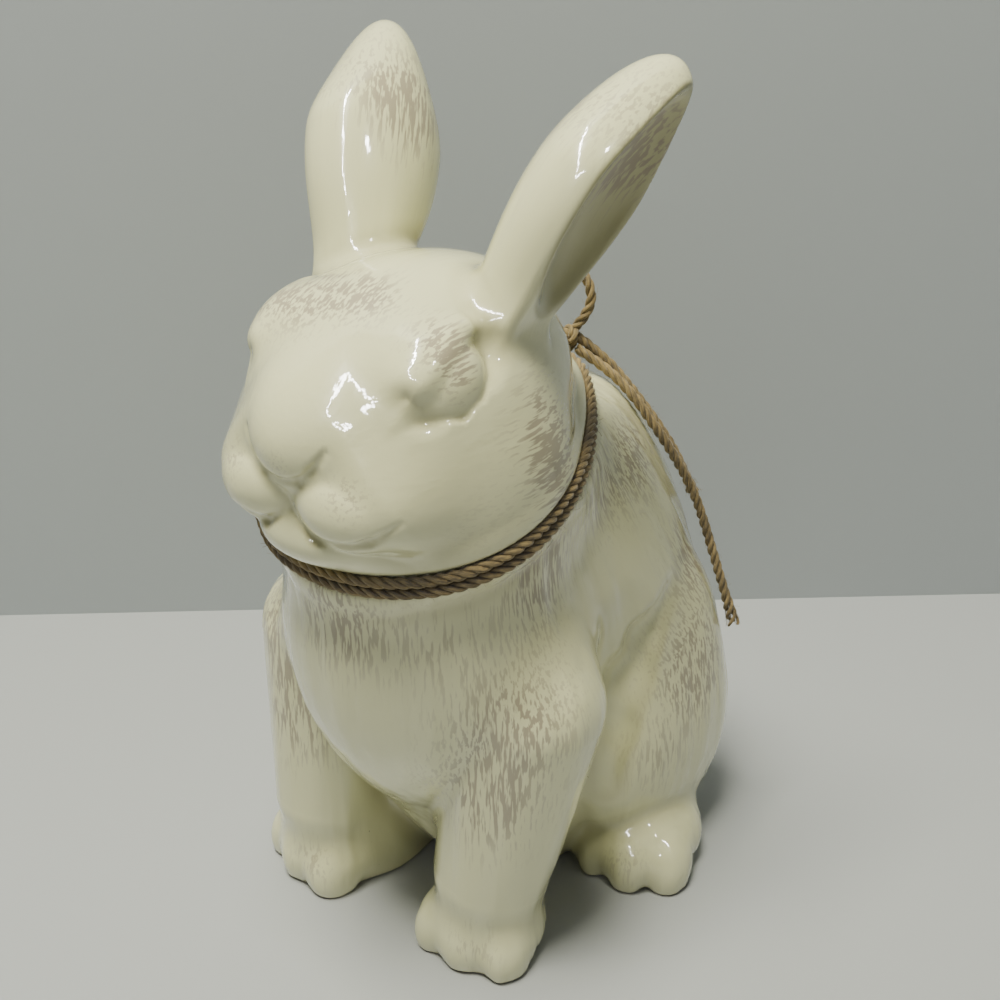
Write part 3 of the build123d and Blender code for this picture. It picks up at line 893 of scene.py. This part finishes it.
# Loops and loose ends of the bow, chosen one by one from the knot outwards, as in the frame, in millimetres
bow = {
    "twine_loop_left": {
        "length": 0.0916, "farEnd": "knot", "lay": "loose", "fray": 0.0, "frayFibres": 0,
        "route": [(1.5, 42.5, 192), (6.8, 46, 198.7), (7, 46.5, 208.5), (-0.5, 45, 216.5), (-11, 43, 219.5),
                  (-21, 42, 216), (-27, 42, 207), (-25, 42.7, 197), (-16.5, 44, 191.5), (-5, 43.2, 191.8)],
    },
    "twine_loop_right": {
        "length": 0.1152, "farEnd": "knot", "lay": "loose", "fray": 0.0, "frayFibres": 0,
        "route": [(-4.5, 42.5, 187.5), (-13, 48.5, 189), (-24, 50, 188), (-34.5, 47.5, 183.5),
                  (-41.5, 45, 174.5), (-41.5, 48.5, 163.5), (-33.5, 55, 157.5), (-22.8, 60.3, 162.4),
                  (-14.2, 58.3, 171), (-7, 51.8, 179.3), (-2, 43.5, 186.5)],
    },
    "twine_tail_short": {
        "length": 0.0737, "farEnd": "bare", "lay": "hanging", "fray": 0.007, "frayFibres": 34,
        "route": [(3, 44, 190.5), (10.5, 51.5, 182), (20, 54.5, 171), (28, 59, 159), (34, 64.5, 145.5),
                  (38.5, 68, 132)],
    },
    "twine_tail_long": {
        "length": 0.125, "farEnd": "bare", "lay": "hanging", "fray": 0.013, "frayFibres": 60,
        "route": [(4.5, 42, 187), (12, 46.5, 181.5), (22, 48.5, 174), (31, 51, 162.5), (37, 57.5, 148.5),
                  (41, 64, 134.5), (44.5, 67.5, 121), (48.5, 69, 108), (53, 70, 95.5), (57, 71.5, 82.5)],
    },
}
knot = {"centre": (0, 40.3, 189.7), "size": 1.42, "depth": 1.3, "out": 1.5, "points": 48}


def neckPoint(quarter, climb, outward=1.0):  # a point of the twine's line, in quarter turns from the nape
    angle = math.pi - quarter * math.pi / 2
    across, rear, up = neckAxes()
    side = neck["halfWidth"] * math.sin(angle) * (1 + neck["fullness"] * math.cos(angle))
    back = -neck["halfDepth"] * math.cos(angle)
    return np.array(neck["centre"], float) + (across * side + rear * back) * outward + up * climb


def wrapRoute():  # two turns, which climb in the last quarter of each
    outward = 1 + (math.pi / wrapPointsInTurn) ** 2 / 2
    pitch = neck["pitch"]
    route = []
    for number in range(2 * wrapPointsInTurn + 1):
        quarter = 4 * number / wrapPointsInTurn
        climb = pitch * (-0.5 + float(ramp(quarter, 3, 4)) + float(ramp(quarter, 7, 8)))
        route.append(neckPoint(quarter, climb, outward))
    run = twine["diameter"] / millimetre
    first = route[0] - unit((route[1] - route[0])[None])[0] * run
    last = route[-1] + unit((route[-1] - route[-2])[None])[0] * run
    return [first, *route, last]


def knotRoute():
    across, rear, up = neckAxes()
    route = []
    for number in range(knot["points"]):
        t = 2 * math.pi * number / knot["points"]
        side = knot["size"] * (math.sin(t) + 2 * math.sin(2 * t))
        height = knot["size"] * (math.cos(t) - 2 * math.cos(2 * t))
        out = knot["out"] - knot["depth"] * math.sin(3 * t)
        route.append(np.array(knot["centre"], float) + across * side + up * height + rear * out)
    return route


def makeLine(name, route):
    curve = bpy.data.curves.new(name, "CURVE")
    curve.dimensions = "3D"
    curve.resolution_u = 16
    spline = curve.splines.new("NURBS")
    spline.points.add(len(route) - 1)
    for point, place in zip(spline.points, route):
        point.co = (*(float(value) * millimetre for value in place), 1)
    spline.order_u = 3
    spline.use_endpoint_u = True
    made = bpy.data.objects.new(name, curve)
    bpy.context.scene.collection.objects.link(made)
    return made


def pathOf(line):
    mesh = bpy.data.meshes.new_from_object(line.evaluated_get(bpy.context.evaluated_depsgraph_get()))
    path = [tuple(vertex.co) for vertex in mesh.vertices]
    bpy.data.meshes.remove(mesh)
    return path


def vectorOf(tree, operation, first, second):
    key = "Scale" if operation == "SCALE" else 1
    return outputOf(tree, "ShaderNodeVectorMath", {0: first, key: second}, operation=operation)


def awayFromLine(tree, angle, distance):  # an offset square to the line, at an angle round it
    normal = outputOf(tree, "GeometryNodeInputNormal")
    tangent = outputOf(tree, "GeometryNodeInputTangent")
    binormal = vectorOf(tree, "CROSS_PRODUCT", tangent, normal)
    one = vectorOf(tree, "SCALE", normal, calculated(tree, "COSINE", angle))
    other = vectorOf(tree, "SCALE", binormal, calculated(tree, "SINE", angle))
    return vectorOf(tree, "SCALE", vectorOf(tree, "ADD", one, other), distance)


def randomFloat(tree, low, high, seed, inputs=None):
    inputs = {2: low, 3: high, "Seed": seed, **(inputs or {})}
    return outputOf(tree, "FunctionNodeRandomValue", inputs, 1, data_type="FLOAT")


def uneven(tree, scale, size):  # an offset that wanders from place to place
    place = outputOf(tree, "GeometryNodeInputPosition")
    noise = outputOf(tree, "ShaderNodeTexNoise", {"Vector": place, "Scale": scale, "Detail": 1.0}, "Color")
    return vectorOf(tree, "SCALE", vectorOf(tree, "SUBTRACT", noise, (0.5, 0.5, 0.5)), size)


def copied(tree, line, amount):
    inputs = {"Geometry": line, "Amount": amount}
    return addNode(tree, "GeometryNodeDuplicateElements", inputs, domain="SPLINE").outputs


def stored(tree, geometry, name, value):
    inputs = {"Geometry": geometry, "Name": name, "Value": value}
    return outputOf(tree, "GeometryNodeStoreNamedAttribute", inputs, data_type="FLOAT", domain="POINT")


def shifted(tree, strands, along, number, offset):  # the strands' places are kept for their material
    marked = stored(tree, stored(tree, strands, "along", along), "ply", number)
    return outputOf(tree, "GeometryNodeSetPosition", {"Geometry": marked, "Offset": offset})


def tube(tree, line, radius, sides, scale):
    inputs = {"Resolution": sides, "Radius": radius}
    ring = outputOf(tree, "GeometryNodeCurvePrimitiveCircle", inputs, mode="RADIUS")
    ring = stored(tree, ring, "around", outputOf(tree, "GeometryNodeSplineParameter", None, "Factor"))
    inputs = {"Curve": line, "Profile Curve": ring, "Scale": scale, "Fill Caps": True}
    return outputOf(tree, "GeometryNodeCurveToMesh", inputs)


def makePlies(tree, line, frayLength):
    plies, number = copied(tree, line, twine["plies"])
    along = outputOf(tree, "GeometryNodeSplineParameter", None, "Length")
    whole = outputOf(tree, "GeometryNodeSplineLength", None, "Length")
    left = calculated(tree, "SUBTRACT", whole, along)
    opened = ranged(tree, left, 0.0, calculated(tree, "MAXIMUM", frayLength, twine["unfrayed"]), 1.0, 0.0)
    phase = calculated(tree, "MULTIPLY", number, 2 * math.pi / twine["plies"])
    angle = calculated(tree, "MULTIPLY_ADD", along, 2 * math.pi / twine["layLength"], phase)
    distance = calculated(tree, "MULTIPLY_ADD", opened, twine["plyOffset"], twine["plyOffset"])
    wander = uneven(tree, twine["wanderScale"], twine["wander"])
    offset = vectorOf(tree, "ADD", awayFromLine(tree, angle, distance), wander)
    placed = shifted(tree, plies, along, number, offset)
    thickness = outputOf(tree, "ShaderNodeSeparateXYZ", {0: uneven(tree, twine["unevenScale"], 1.0)})
    scale = calculated(tree, "MULTIPLY_ADD", thickness, 2 * twine["unevenness"], 1.0)
    thinned = calculated(tree, "MULTIPLY_ADD", opened, twine["thinning"], 1.0)
    scale = calculated(tree, "MULTIPLY", scale, thinned)
    return tube(tree, placed, twine["plyRadius"], twine["sides"], scale)


def makeFray(tree, line, frayLength, frayFibres):
    whole = outputOf(tree, "GeometryNodeSplineLength", None, "Length")
    start = calculated(tree, "SUBTRACT", whole, calculated(tree, "MAXIMUM", frayLength, frayed["shortest"]))
    end = outputOf(tree, "GeometryNodeTrimCurve", {"Curve": line, 4: start, 5: whole}, mode="LENGTH")
    fibres, number = copied(tree, end, frayFibres)
    share = outputOf(tree, "GeometryNodeSplineParameter", None, "Factor")
    angle = randomFloat(tree, 0.0, 2 * math.pi, twine["seed"], {"ID": number})
    reach = randomFloat(tree, *frayed["reach"], twine["seed"] + 1, {"ID": number})
    squared = calculated(tree, "MULTIPLY", share, share)
    flare = calculated(tree, "MULTIPLY_ADD", squared, frayed["flare"], frayed["spread"])
    offset = awayFromLine(tree, angle, calculated(tree, "MULTIPLY", reach, flare))
    tangent = outputOf(tree, "GeometryNodeInputTangent")
    slip = randomFloat(tree, *frayed["slip"], twine["seed"] + 2, {"ID": number})
    slip = vectorOf(tree, "SCALE", tangent, calculated(tree, "MULTIPLY", share, slip))
    wave = uneven(tree, frayed["waveScale"], calculated(tree, "MULTIPLY", share, frayed["wave"]))
    offset = vectorOf(tree, "ADD", vectorOf(tree, "ADD", offset, slip), wave)
    placed = shifted(tree, fibres, share, number, offset)
    scale = calculated(tree, "MULTIPLY_ADD", share, frayed["thinning"], 1.0)
    return tube(tree, placed, frayed["radius"], frayed["sides"], scale)


def makeFuzz(tree, plies):
    inputs = {"Mesh": plies, "Density": fuzz["density"], "Seed": twine["seed"]}
    spots = addNode(tree, "GeometryNodeDistributePointsOnFaces", inputs)
    inputs = {"Resolution": fuzz["bendSteps"], **fuzz["bend"]}
    bend = outputOf(tree, "GeometryNodeCurveQuadraticBezier", inputs)
    fibre = tube(tree, bend, fuzz["radius"], fuzz["sides"], 1.0)
    tilt = fuzz["tilt"]
    inputs = {0: (-tilt, -tilt, 0), 1: (tilt, tilt, 2 * math.pi), "Seed": twine["seed"] + 3}
    turn = outputOf(tree, "FunctionNodeRandomValue", inputs, data_type="FLOAT_VECTOR")
    turn = outputOf(tree, "FunctionNodeEulerToRotation", {0: turn})
    inputs = {0: spots.outputs["Rotation"], 1: turn}
    way = outputOf(tree, "FunctionNodeRotateRotation", inputs, rotation_space="LOCAL")
    size = randomFloat(tree, *fuzz["size"], twine["seed"] + 4)
    inputs = {"Points": spots.outputs["Points"], "Instance": fibre, "Rotation": way, "Scale": size}
    return outputOf(tree, "GeometryNodeInstanceOnPoints", inputs)


def makeTwineTree(material):
    tree = bpy.data.node_groups.new("twisted_twine", "GeometryNodeTree")
    tree.interface.new_socket("Line", in_out="INPUT", socket_type="NodeSocketGeometry")
    tree.interface.new_socket("Fray Length", in_out="INPUT", socket_type="NodeSocketFloat")
    tree.interface.new_socket("Fray Fibres", in_out="INPUT", socket_type="NodeSocketInt")
    tree.interface.new_socket("Twine", in_out="OUTPUT", socket_type="NodeSocketGeometry")
    given = addNode(tree, "NodeGroupInput")
    inputs = {"Curve": given.outputs["Line"], "Length": twine["step"]}
    line = outputOf(tree, "GeometryNodeResampleCurve", inputs, mode="LENGTH")
    plies = makePlies(tree, line, given.outputs["Fray Length"])
    fray = makeFray(tree, line, given.outputs["Fray Length"], given.outputs["Fray Fibres"])
    together = addNode(tree, "GeometryNodeJoinGeometry")
    for part in (makeFuzz(tree, plies), fray, plies):
        tree.links.new(part, together.inputs[0])
    real = outputOf(tree, "GeometryNodeRealizeInstances", {"Geometry": together.outputs[0]})
    smooth = outputOf(tree, "GeometryNodeSetShadeSmooth", {"Geometry": real})
    clothed = outputOf(tree, "GeometryNodeSetMaterial", {"Geometry": smooth, "Material": material})
    addNode(tree, "NodeGroupOutput", {"Twine": clothed})
    return tree


juteFinish = {
    "light": (0.35, 0.25, 0.095, 1),
    "dark": (0.07, 0.05, 0.02, 1),
    "streaks": {"along": 500.0, "around": 9.0, "ply": 7.3},     # how often a fibre's tone changes
    "streakDetail": 4.0,
    "streakRoughness": 0.6,
    "patchScale": 140.0,
    "patchShare": 0.4,
    "toneRange": (0.48, 0.92),
    "bumpStrength": 0.5,
    "bumpDistance": 0.00025,
    "roughness": 0.8,
    "sheen": 0.25,
}


def makeJute():
    material, tree, shader = newMaterial("jute")
    parts = [calculated(tree, "MULTIPLY", attributeOf(tree, name), scale)
             for name, scale in juteFinish["streaks"].items()]
    streakPlace = outputOf(tree, "ShaderNodeCombineXYZ", dict(enumerate(parts)))
    streaks = noiseOf(tree, streakPlace, 1.0, juteFinish["streakDetail"], juteFinish["streakRoughness"])
    place = outputOf(tree, "ShaderNodeTexCoord", None, "Object")
    patches = noiseOf(tree, place, juteFinish["patchScale"])
    tone = calculated(tree, "MULTIPLY_ADD", patches, juteFinish["patchShare"], streaks)
    tone = ranged(tree, tone, *juteFinish["toneRange"])
    colour = mixColours(tree, tone, juteFinish["dark"], juteFinish["light"])
    bump = bumpOf(tree, streaks, juteFinish["bumpStrength"], juteFinish["bumpDistance"])
    fill(tree, shader, {
        "Base Color": colour, "Roughness": juteFinish["roughness"], "Normal": bump,
        "Sheen Weight": juteFinish["sheen"],
    })
    return material


def makeTwine(name, route, tree, material, fray=0.0, frayFibres=0):
    line = makeLine(name + "_line", route)
    path = pathOf(line)
    modifier = line.modifiers.new("twist", "NODES")
    modifier.node_group = tree
    values = {"Fray Length": fray, "Fray Fibres": frayFibres}
    for item in tree.interface.items_tree:
        if item.item_type == "SOCKET" and item.in_out == "INPUT" and item.name in values:
            modifier[item.identifier] = values[item.name]
    mesh = bpy.data.meshes.new_from_object(line.evaluated_get(bpy.context.evaluated_depsgraph_get()))
    mesh.name = name + "_jute"
    bpy.data.objects.remove(line)
    piece = bpy.data.objects.new(name + "_jute", mesh)
    bpy.context.scene.collection.objects.link(piece)
    if not mesh.materials:
        mesh.materials.append(material)
    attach(piece, "root")
    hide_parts(name)
    print(name, len(mesh.polygons), "faces")
    return piece, path


jute = makeJute()
twineTree = makeTwineTree(jute)
knotPiece = makeTwine("twine_knot", knotRoute(), twineTree, jute)[0]
wrapPiece, wrapPath = makeTwine("twine_neck_wrap", wrapRoute(), twineTree, jute)
for name, setting in bow.items():
    piece, path = makeTwine(name, setting["route"], twineTree, jute, setting["fray"], setting["frayFibres"])
print("twine made")

# Stage, light and camera
stage = {
    "size": 14.0,
    "floorColour": (0.40, 0.415, 0.425, 1),
    "floorRoughness": 0.4,
    "wallColour": (0.38, 0.41, 0.425, 1),
    "wallRoughness": 0.7,
    "wallLeft": (-0.2119, 0.0479),      # two places of the wall's foot
    "wallRight": (0.0154, 0.2311),
    "worldColour": (0.61, 0.64, 0.67, 1),
    "worldStrength": 0.18,
}
lights = {
    "overhead": {"azimuth": -4, "elevation": 75, "distance": 1.5, "size": (0.6, 0.5), "power": 46, "turn": 0,
                 "mirrored": False, "colour": (1.0, 0.975, 0.81)},
    "frontStrip": {"azimuth": 12, "elevation": 57, "distance": 1.3, "size": (0.038, 1.15), "power": 21,
                   "turn": 21.5, "lighting": False},
    "ceilingStrip": {"azimuth": -70.5, "elevation": 77.2, "distance": 1.3, "size": (0.032, 1.19), "power": 22,
                     "turn": -77.5, "lighting": False},
    "stripFoot": {"azimuth": 31, "elevation": 31, "distance": 1.3, "size": (0.22, 0.035), "power": 3.5,
                  "turn": 5, "lighting": False},
    "sideWindow": {"azimuth": 74, "elevation": 50, "distance": 1.5, "size": (0.07, 0.16), "power": 6,
                   "turn": 0, "lighting": False},
}
camera = {"azimuth": 36.9, "distance": 0.4103, "height": 0.3583, "down": 27.4, "yaw": 0.4,
          "lens": 50.4, "sensor": 36.0}


def makePlane(name, corners, colour, roughness):  # seen from its front only, and clear from behind
    plane = makeMesh(name, np.array(corners, float) / millimetre, np.array([[0, 1, 2, 3]]), None, {})
    material, tree, shader = newMaterial(name)
    behind = outputOf(tree, "ShaderNodeNewGeometry", None, "Backfacing")
    front = calculated(tree, "SUBTRACT", 1.0, behind)
    fill(tree, shader, {"Base Color": colour, "Roughness": roughness, "Alpha": front})
    plane.data.materials.append(material)


def makeStage():
    size = stage["size"] / 2
    corners = [(-size, -size, 0), (size, -size, 0), (size, size, 0), (-size, size, 0)]
    makePlane("pale_table", corners, stage["floorColour"], stage["floorRoughness"])
    left, right = np.array(stage["wallLeft"]), np.array(stage["wallRight"])
    way = (right - left) / np.linalg.norm(right - left) * size
    low, high = (left + right) / 2 - way, (left + right) / 2 + way
    corners = [(*low, 0), (*high, 0), (*high, size), (*low, size)]
    makePlane("pale_wall", corners, stage["wallColour"], stage["wallRoughness"])
    world = bpy.data.worlds.new("studio")
    world.use_nodes = True
    background = world.node_tree.nodes["Background"]
    background.inputs["Color"].default_value = stage["worldColour"]
    background.inputs["Strength"].default_value = stage["worldStrength"]
    bpy.context.scene.world = world


def makeLight(name, setting):
    data = bpy.data.lights.new(name, "AREA")
    data.shape = "RECTANGLE"
    data.size, data.size_y = setting["size"]
    data.energy = setting["power"]
    data.color = setting.get("colour", (1, 1, 1))
    light = bpy.data.objects.new(name, data)
    a, e = math.radians(setting["azimuth"]), math.radians(setting["elevation"])
    back = Vector((math.sin(a) * math.cos(e), -math.cos(a) * math.cos(e), math.sin(e)))
    middle = (cadLow + cadHigh) / 2
    turn = Matrix.Rotation(math.radians(setting["turn"]), 3, "Z")
    turn = (-back).to_track_quat("-Z", "Y").to_matrix() @ turn
    light.visible_glossy = setting.get("mirrored", True)
    light.visible_diffuse = setting.get("lighting", True)
    light.matrix_world = Matrix.Translation(middle + back * setting["distance"]) @ turn.to_4x4()
    bpy.context.scene.collection.objects.link(light)


def makeCamera():
    a, y, t = (math.radians(camera[key]) for key in ("azimuth", "yaw", "down"))
    ahead = Vector((-math.sin(a), math.cos(a), 0))
    right = Vector((math.cos(a), math.sin(a), 0))
    level = ahead * math.cos(y) + right * math.sin(y)
    right = right * math.cos(y) - ahead * math.sin(y)
    up = level * math.sin(t) + Vector((0, 0, 1)) * math.cos(t)
    forward = level * math.cos(t) - Vector((0, 0, 1)) * math.sin(t)
    data = bpy.data.cameras.new("camera")
    data.lens = camera["lens"]
    data.sensor_width = camera["sensor"]
    data.clip_start = 0.01
    made = bpy.data.objects.new("camera", data)
    place = Vector((math.sin(a) * camera["distance"], -math.cos(a) * camera["distance"], camera["height"]))
    made.matrix_world = Matrix.Translation(place) @ Matrix((right, up, -forward)).transposed().to_4x4()
    bpy.context.scene.collection.objects.link(made)
    bpy.context.scene.camera = made


makeStage()
for name, setting in lights.items():
    makeLight(name, setting)
makeCamera()
print("stage, lights and camera set")
